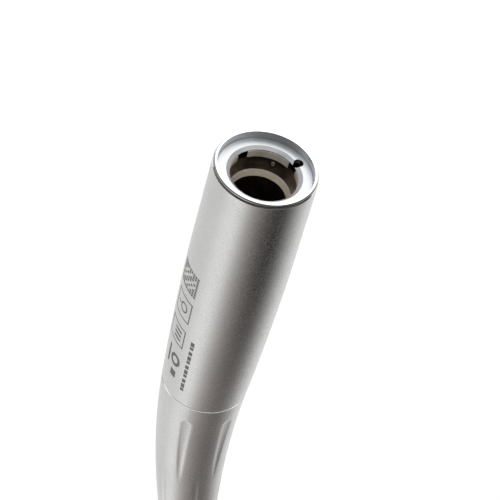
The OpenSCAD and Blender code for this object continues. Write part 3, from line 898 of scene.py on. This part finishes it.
@dataclass
class MotorCoupling:
    """What shows in the motor end: the insert, the slotted ring, the guide bush and the lock pin.

    Attributes:
        insert: Corners of the insert's profile: radius, place and fillet.
        slotted: Corners of the slotted ring's profile.
        bush: Corners of the guide bush's profile.
        slot_w: Width of a slot in the slotted ring.
        slot_end: Place of the slots' feet.
        notch_end: Place of the keyhole's foot, in the slot under it.
        notch_way: Width of the keyhole's way through the lip.
        lock_hole_r: Radius of the lock pin's hole.
        pin_r: Radius of the lock pin.
        pin_reach: Length of the pin's rod, from its outer end to the foot of its dome.
        pin_dome: Height of the dome.
        pin_seat: Distance of the pin's outer end from the axis.
    """

    insert: tuple[tuple[float, float, float], ...] = (
        (9.16, 0.0, 0.05), (9.55, 0.0, 0.04), (9.74, 0.2, 0.03), (9.74, 2.0, 0.03), (9.28, 2.0, 0.03),
        (9.28, 25.9, 0.1), (7.4, 25.9, 0.1), (7.4, 2.3, 0.03), (6.5, 2.3, 0.03), (6.5, 2.16, 0.03),
        (7.2, 1.6, 0.04), (8.97, 1.6, 0.02), (9.0, 1.72, 0.02), (9.1, 1.72, 0.02))
    slotted: tuple[tuple[float, float, float], ...] = (
        (6.4, 2.33, 0.03), (7.38, 2.33, 0.03), (7.38, 6.48, 0.03), (6.9, 6.48, 0.03), (6.9, 3.8, 0.04),
        (6.4, 3.8, 0.03))
    bush: tuple[tuple[float, float, float], ...] = (
        (5.8, 6.5, 0.04), (7.38, 6.5, 0.03), (7.38, 25.9, 0.1), (5.5, 25.9, 0.05), (5.2, 25.6, 0.05),
        (5.2, 7.65, 0.05))
    slot_w: float = 2.3
    slot_end: float = 4.2
    notch_end: float = 3.3
    notch_way: float = 0.8
    lock_hole_r: float = 0.7
    pin_r: float = 0.58
    pin_reach: float = 2.0
    pin_dome: float = 0.24
    pin_seat: float = 9.15

    def notch(self) -> list[bpy.types.Object]:
        """The cutters of the keyhole: a round hole, and a narrow way through the lip to the bore."""
        azimuth = math.radians(NOTCH_AZ)
        middle = NOTCH_OFFSET * np.array([math.cos(azimuth), math.sin(azimuth), 0.0])
        hole = drill(middle + [0, 0, -self.notch_end], middle + [0, 0, 1.0], NOTCH_R)
        way = block((6.7, 0.0, (1 - self.notch_end) / 2),
                    (1.5, self.notch_way, self.notch_end + 1), NOTCH_AZ)
        return [hole, way]

    def slots(self, top: float) -> list[bpy.types.Object]:
        """The cutters of the four slots, from the groove up to a place top."""
        return [block((6.85, 0.0, -(self.slot_end + top) / 2),
                      (2.9, self.slot_w, self.slot_end - top), NOTCH_AZ + turn)
                for turn in SLOT_TURNS]

    def lock_hole(self) -> bpy.types.Object:
        """The cutter of the radial hole that the lock pin sits in."""
        azimuth = math.radians(LOCK_AZ)
        way = np.array([math.cos(azimuth), math.sin(azimuth), 0.0])
        foot = np.array([0, 0, -LOCK_S])
        return drill(6.3 * way + foot, 9.2 * way + foot, self.lock_hole_r)

    def build(self) -> None:
        """Turns each piece from its profile, cuts its openings and settles it."""
        insert = revolved("coupling_insert", REAR, rounded(list(self.insert)), cols=256)
        cut(insert, [*self.slots(2.6), *self.notch(), self.lock_hole()])
        settle(insert, TURNED_STEEL.build(), Body.ROOT, Slot.COUPLING, "coupling_body")
        finish_band(insert, POLISHED_STEEL, (9.14, 9.78), (0.0, 0.3))
        # The ledge and its chamfer: a faced finish, with painted light in its paler colour than the
        # turned walls.
        finish_band(insert, FACED_PAINTED_LIGHT_STEEL, (6.55, 9.0), (1.55, 2.1))
        finish_band(insert, BORED_STEEL, (9.03, 9.17), (0.06, 1.75))
        # Painted shade: the insert's slot pockets and the foot of the keyhole get dark grey, where
        # shade falls deep in them.
        finish_band(insert, BLACK_OXIDE_AND_PAINTED_SHADE, (7.35, 8.35), (2.34, 4.3))
        ring = revolved("slotted_lock_ring", REAR, rounded(list(self.slotted)))
        cut(ring, [*self.slots(2.0), self.lock_hole()])
        settle(ring, TEMPERED_STEEL.build(), Body.ROOT, Slot.BRONZED, "slotted_ring")
        # Painted shade: the walls of the ring's undercut get the darker steel, where the recess lies
        # in shade.
        finish_band(ring, DARK_STEEL_AND_PAINTED_SHADE, (6.45, 8.0), (3.82, 6.6))
        # Painted shade: the walls of the ring's slots get dark grey.
        finish_band(ring, BLACK_OXIDE_AND_PAINTED_SHADE, (6.43, 7.36), (2.36, 3.77))
        bush = revolved("motor_guide_bush", REAR, rounded(list(self.bush)))
        settle(bush, DARK_STEEL_AND_PAINTED_SHADE.build(), Body.ROOT, Slot.DARK, "guide_bush")
        # Painted highlight along the bush's chamfer edge.
        finish_band(bush, PAINTED_HIGHLIGHT_STEEL, (5.15, 6.0), (6.4, 7.7))
        self.pin()

    def pin(self) -> None:
        """Makes the lock pin: a rod whose inner end is a dome, lying along the radius."""
        dome = np.linspace(0, math.pi / 2, 9)
        profile = np.concatenate([
            [[0.0, 0.0], [self.pin_r, 0.0], [self.pin_r, self.pin_reach - 0.1]],
            np.stack([self.pin_r * np.cos(dome), self.pin_reach + self.pin_dome * np.sin(dome)], -1)])
        angle = np.linspace(0, 2 * math.pi, 40, endpoint=False)
        along = self.pin_seat - profile[:, 1][:, None] + 0 * angle
        side = profile[:, 0][:, None] * np.cos(angle)
        rise = profile[:, 0][:, None] * np.sin(angle) - LOCK_S
        azimuth = math.radians(LOCK_AZ)
        points = np.stack([along * math.cos(azimuth) - side * math.sin(azimuth),
                           along * math.sin(azimuth) + side * math.cos(azimuth), rise], -1)
        pin = new_piece("lock_pin_dome", points, grid_faces(len(profile), 40, False, True))
        settle(pin, POLISHED_STEEL.build(), Body.ROOT, Slot.COUPLING, "lock_pin")


@dataclass
class Head:
    """The head: its barrel and neck in one shell, and the cap, button, cover and spindle on it.

    Attributes:
        barrel_r: Radius of the barrel.
        foot_u: Half the length of the neck's foot on the barrel, along the spindle.
        foot_deg: Half the angle that the foot spans round the barrel.
    """

    barrel_r: float = 4.6
    foot_u: float = 5.5
    foot_deg: float = 74.0

    def build(self) -> None:
        """Makes the shell and the pieces turned about the spindle's axis."""
        self.shell()
        cap = revolved("head_cap_ring", HEAD, rounded([
            (3.5, -6.03, 0.03), (4.6, -6.03, 0.06), (4.6, -7.25, 0.3), (4.0, -8.35, 0.35),
            (3.45, -8.6, 0.08), (2.9, -8.6, 0.06), (2.9, -8.05, 0.03), (3.5, -8.05, 0.03)]))
        settle(cap, POLISHED_STEEL.build(HEAD), Body.ROOT, Slot.POLISHED, "head_cap")
        button = revolved("button_top", HEAD, rounded([
            (0.0, -7.35, 0.0), (0.9, -7.35, 0.05), (0.9, -7.55, 0.05), (3.35, -7.55, 0.05),
            (3.35, -8.0, 0.05), (2.82, -8.0, 0.05), (2.82, -9.0, 0.1), (2.55, -9.17, 0.15),
            (1.6, -9.17, 0.4), (1.1, -9.05, 0.5), (0.0, -9.0, 0.0)], closed=False), closed=False)
        settle(button, TURNED_STEEL.build(HEAD), Body.BUTTON, Slot.POLISHED, "push_button")
        cover = revolved("head_cover_ring", HEAD, rounded([
            (1.75, 5.8, 0.03), (3.165, 5.8, 0.03), (3.165, 6.2, 0.05), (2.9, 6.4, 0.08),
            (1.95, 6.4, 0.05), (1.75, 6.25, 0.03)]))
        settle(cover, POLISHED_STEEL.build(HEAD), Body.ROOT, Slot.POLISHED, "head_cover")
        spindle = revolved("chuck_spindle", HEAD, rounded([
            (1.19, -5.2, 0.0), (1.19, 6.85, 0.03), (1.31, 7.0, 0.03), (1.45, 7.0, 0.05),
            (1.5875, 6.8, 0.05), (1.5875, -5.9, 0.02), (1.35, -5.9, 0.02), (1.35, -6.2, 0.02),
            (1.5875, -6.2, 0.02), (1.5875, -6.4, 0.05), (0.5, -6.4, 0.05), (0.5, -5.2, 0.02)]),
            cols=96)
        settle(spindle, GROUND_STEEL.build(HEAD), Body.SPINDLE, Slot.POLISHED, "spindle")

    def shell(self) -> None:
        """Makes the head's shell.

        The barrel is turned about the spindle. The neck is turned about its own axis down to 3 mm
        above the barrel, and then each of its columns runs along a cubic curve that leaves the
        neck along its axis and lands on the barrel along its surface, on a foot that is an
        ellipse in u and in the angle round the barrel.
        """
        barrel = rounded([(3.18, -6.0, 0.03), (4.6, -6.0, 0.06), (4.6, 5.5, 0.4), (4.0, 6.3, 0.35),
                          (3.18, 6.3, 0.05)])
        shell = revolved("head_shell", HEAD, barrel)
        angle = np.linspace(0, 2 * math.pi, 192, endpoint=False)
        foot_u = self.foot_u * np.cos(angle)
        round_barrel = math.radians(self.foot_deg) * np.sin(angle)
        reach = self.barrel_r - 0.02
        foot = np.stack([-foot_u, reach * np.sin(round_barrel),
                         reach * np.cos(round_barrel) - HEAD_T], -1)
        slope = np.stack([np.cos(angle), -np.sin(angle) * np.cos(round_barrel),
                          np.sin(angle) * np.sin(round_barrel)], -1)
        neck_s = [(4.5, 27.0), (4.58, 27.03), (4.62, 27.12), (4.62, 27.3), (4.5, 28.0), (4.4, 28.8),
                  (4.32, 29.4)]
        rows = [np.stack([-r * np.cos(angle), r * np.sin(angle), np.full_like(angle, -t)], -1)
                for r, t in neck_s]
        start = rows[-1]
        lead = start + np.stack([0.1 * np.cos(angle), -0.1 * np.sin(angle),
                                 np.full_like(angle, -1.5)], -1)
        arrive = foot + slope * 1.6
        for q in np.linspace(0, 1, 22)[1:]:
            rows.append((1 - q) ** 3 * start + 3 * q * (1 - q) ** 2 * lead
                        + 3 * q * q * (1 - q) * arrive + q ** 3 * foot)
        sunk = foot * np.array([0.9, 0.9, 1.0]) - np.array([0.0, 0.0, 0.5])
        bore = [np.stack([-3.64 * np.cos(angle), 3.64 * np.sin(angle), np.full_like(angle, -t)], -1)
                for t in (32.4, 27.0)]
        points = NECK.place(np.stack([*rows, sunk, *bore]))
        neck = new_piece("neck_part", points, grid_faces(len(points), 192, True, True))
        with bpy.context.temp_override(active_object=shell, selected_editable_objects=[shell, neck]):
            bpy.ops.object.join()
        settle(shell, SATIN_CHROME.build(), Body.ROOT, Slot.SLEEVE, "head_housing")


@dataclass
class Studio:
    """The floor, the light and the camera.

    Attributes:
        sky: Brightness of the white surroundings.
        eye: Place of the camera, in mm.
        right: The camera's right.
        down: The camera's down.
        lens: Focal length, in mm, on a 36 mm sensor.
        floor_glow: (direction in degrees, brightness, warmth) of each stop of the floor's glow.
        low_glow: The same for the lower part of the dome.
        high_glow: The same for its higher part.
        dome_r: Radius of the dome, in mm.
    """

    sky: float = 1.12
    eye: tuple[float, float, float] = (183.06, -258.16, 303.33)
    right: tuple[float, float, float] = (0.6687, 0.7171, 0.1968)
    down: tuple[float, float, float] = (0.6263, -0.4005, -0.6689)
    lens: float = 172.8
    floor_glow: tuple[tuple[float, float, float], ...] = (
        (-180, 0.82, 0.0), (-150, 0.80, 0.0), (-125, 0.82, 0.0), (-105, 1.02, -0.1),
        (-88, 1.08, 0.0), (-75, 0.88, 0.1), (-62, 0.52, 0.3), (-50, 0.33, 0.6), (-36, 0.18, 0.9),
        (-20, 0.07, 0.9), (-5, 0.02, 0.8), (10, 0.03, 0.2), (25, 0.15, 0.0), (40, 0.40, 0.0),
        (55, 0.68, 0.0), (70, 0.90, 0.0), (90, 0.98, 0.0), (180, 0.82, 0.0))
    low_glow: tuple[tuple[float, float, float], ...] = (
        (-180, 0.5, 0.2), (-165, 0.3, 0.3), (-130, 0.1, 0.3), (-55, 0.05, 0.3), (50, 0.10, 0.3),
        (70, 0.5, 0.0), (90, 1.0, 0.0), (160, 1.0, 0.0), (180, 0.5, 0.2))
    high_glow: tuple[tuple[float, float, float], ...] = (
        (-180, 1.3, 0.0), (-145, 1.3, 0.0), (-122, 0.2, 0.2), (-60, 0.06, 0.3), (-20, 0.1, 0.2),
        (20, 0.7, 0.0), (60, 1.3, 0.0), (90, 1.8, 0.0), (125, 1.9, 0.0), (150, 1.6, 0.0),
        (170, 1.3, 0.0), (180, 1.2, 0.0))
    dome_r: float = 1500.0

    def build(self, floor_z: float) -> None:
        """Makes the floor just under the object, the cards, the surroundings and the camera."""
        self.floor(floor_z)
        self.floor_card(floor_z + CARD_RISE * MM)
        self.dome()
        self.surroundings()
        self.camera()

    def floor(self, z: float) -> None:
        """A wide matt white floor with a faint unevenness."""
        half = 2.0
        mesh = bpy.data.meshes.new("studio_floor")
        mesh.from_pydata([(-half, -half, z), (half, -half, z), (half, half, z), (-half, half, z)], [],
                         [(0, 1, 2, 3)])
        floor = add_object("studio_floor", mesh)
        dress(floor, DullFinish("matt_white_board", "#fbfbfb", "#f8f8f8", 0.9, 40.0, 0.0).build())

    def glow_card(self, name: str, points: np.ndarray, faces: np.ndarray,
                  material: bpy.types.Material) -> None:
        """Adds a card that only reflections see.

        Args:
            name: Its name.
            points: Its points, in mm.
            faces: Its faces.
            material: Its glow.
        """
        mesh = bpy.data.meshes.new(name)
        mesh.from_pydata((points.reshape(-1, 3) * MM).tolist(), [], faces.tolist())
        card = add_object(name, mesh)
        dress(card, material)
        for ray in ("camera", "diffuse", "shadow", "transmission", "volume_scatter"):
            setattr(card, f"visible_{ray}", False)

    def ramp_round(self, material: bpy.types.Material, parts: bpy.types.Node,
                   stops: tuple[tuple[float, float, float], ...]) -> bpy.types.NodeSocket:
        """A colour that depends on the direction round the vertical axis.

        Args:
            material: The material whose tree gets the nodes.
            parts: A node that gives the place's X, Y and Z.
            stops: (direction in degrees, brightness, warmth) of each stop.

        Returns:
            The colour's socket.
        """
        turn = add(material, "Math", {0: parts.outputs["Y"], 1: parts.outputs["X"]},
                   operation="ARCTAN2")
        share = add(material, "MapRange", {"Value": turn.outputs[0], "From Min": -math.pi,
                                           "From Max": math.pi, "To Min": 0.0, "To Max": 1.0})
        ramp = add(material, "ValToRGB", {"Fac": share.outputs["Result"]})
        elements = ramp.color_ramp.elements
        elements[0].position, elements[1].position = 0.0, 1.0
        for direction, _, _ in stops[1:-1]:
            elements.new((direction + 180) / 360)
        for element, (_, value, warmth) in zip(elements, stops):
            element.color = (value, value * (1 - 0.12 * warmth), value * (1 - 0.16 * warmth), 1.0)
        return ramp.outputs["Color"]

    def floor_card(self, z: float) -> None:
        """A disc over the floor whose glow depends on the direction from the grip's axis.

        The satin sleeves mirror it as soft stripes along the grip: bright, then a warm dark band.
        Close to the axis, where the lower part of the grip mirrors it, the band is paler.
        """
        material = blank_material("floor_reflection")
        place = add(material, "TexCoord").outputs["Object"]
        parts = add(material, "SeparateXYZ", {"Vector": place})
        around = self.ramp_round(material, parts, self.floor_glow)
        flat = add(material, "CombineXYZ", {"X": parts.outputs["X"], "Y": parts.outputs["Y"]})
        out = add(material, "VectorMath", {0: flat.outputs[0]}, operation="LENGTH")
        near = add(material, "MapRange", {"Value": out.outputs["Value"], "From Min": 0.045,
                                          "From Max": 0.12, "To Min": 0.38, "To Max": 0.0})
        both = add(material, "Mix", {"Factor": near.outputs["Result"], 6: around,
                                     7: (0.55, 0.49, 0.47, 1.0)}, data_type="RGBA",
                   blend_type="SCREEN")
        self.glow(material, both.outputs[2])
        angle = np.linspace(0, 2 * math.pi, 96, endpoint=False)
        rings = np.array([0.1, 600.0])[:, None]
        points = np.stack([rings * np.cos(angle), rings * np.sin(angle),
                           np.full((2, 96), z / MM)], -1)
        self.glow_card("floor_reflection_card", points, grid_faces(2, 96, False, True), material)

    def dome(self) -> None:
        """A dome whose glow stands for the studio's screens, as the bright metal mirrors them.

        Low down it is dark except behind the object, and higher up it is grey towards the camera
        and bright behind; overhead it is white.
        """
        material = blank_material("studio_screens")
        place = add(material, "TexCoord").outputs["Object"]
        parts = add(material, "SeparateXYZ", {"Vector": place})
        colour = self.ramp_round(material, parts, self.low_glow)
        high = self.ramp_round(material, parts, self.high_glow)
        for upper, (start, stop) in ((high, (34, 42)), ((1.3, 1.3, 1.3, 1.0), (54, 66))):
            height = [self.dome_r * MM * math.sin(math.radians(d)) for d in (start, stop)]
            rise = add(material, "MapRange", {"Value": parts.outputs["Z"], "From Min": height[0],
                                              "From Max": height[1]},
                       interpolation_type="SMOOTHSTEP")
            colour = add(material, "Mix", {"Factor": rise.outputs["Result"], 6: colour, 7: upper},
                         data_type="RGBA").outputs[2]
        self.glow(material, colour)
        angle = np.linspace(0, 2 * math.pi, 96, endpoint=False)
        rise = np.radians(np.linspace(-4.0, 90.0, 40))[:, None]
        points = self.dome_r * np.stack([np.cos(rise) * np.cos(angle), np.cos(rise) * np.sin(angle),
                                         np.sin(rise) + 0 * angle], -1)
        self.glow_card("studio_dome_card", points, grid_faces(40, 96, False, True), material)

    def glow(self, material: bpy.types.Material, colour: bpy.types.NodeSocket) -> None:
        """Ends a card's material in an even glow of that colour, which isn't sampled as a lamp."""
        light = add(material, "Emission", {"Color": colour, "Strength": 1.0})
        add(material, "OutputMaterial", {"Surface": light.outputs[0]})
        material.cycles.emission_sampling = "NONE"

    def surroundings(self) -> None:
        """A plain white world."""
        world = bpy.data.worlds.new("white_studio")
        world.use_nodes = True
        world.node_tree.nodes.clear()
        light = add(world, "Background", {"Color": (1.0, 1.0, 1.0, 1.0), "Strength": self.sky})
        add(world, "OutputWorld", {"Surface": light.outputs[0]})
        bpy.context.scene.world = world
        bpy.context.scene.view_settings.view_transform = "Standard"

    def camera(self) -> None:
        """The camera, looking at the grip from above and in front, with no shift or blur."""
        data = bpy.data.cameras.new("studio_camera")
        data.lens = self.lens
        data.sensor_width = 36.0
        data.clip_start = 0.01
        data.clip_end = 20.0
        camera = add_object("studio_camera", data)
        right, up = Vector(self.right), -Vector(self.down)
        turn = Matrix((right, up, right.cross(up))).transposed()
        camera.matrix_world = Matrix.Translation(Vector(self.eye) * MM) @ turn.to_4x4()
        bpy.context.scene.camera = camera


def dress_cad(nodes: dict[str, bpy.types.Object], record: dict) -> None:
    """Gives every CAD node the finish of its slot, with turning lines round its own axis.

    Args:
        nodes: The CAD nodes by name.
        record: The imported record, whose materials name each node's slot.
    """
    slot_of = {part["node"]: part["material_slot"] for part in record["subparts"]}
    for name, node in nodes.items():
        finish = SLOT_FINISH[slot_of[name]]
        words = name.split("_")
        axis = HEAD if words[0] in ("head", "spindle", "chuck", "button", "push") else (
            NECK if words[0] in ("front", "neck") else REAR)
        dress(node, finish.build(axis) if isinstance(finish, MetalFinish) else finish.build())


def main() -> None:
    """Builds every piece in order."""
    logging.basicConfig(level=logging.INFO, format="%(name)s: %(message)s")
    dress_cad(frame["nodes"], frame["record"])
    for part in (GripSleeve(), FingerSleeve(), MotorCoupling(), Head()):
        part.build()
    Studio().build(cad_box[0][2] - FLOOR_GAP * MM)


if __name__ == "__main__":
    main()
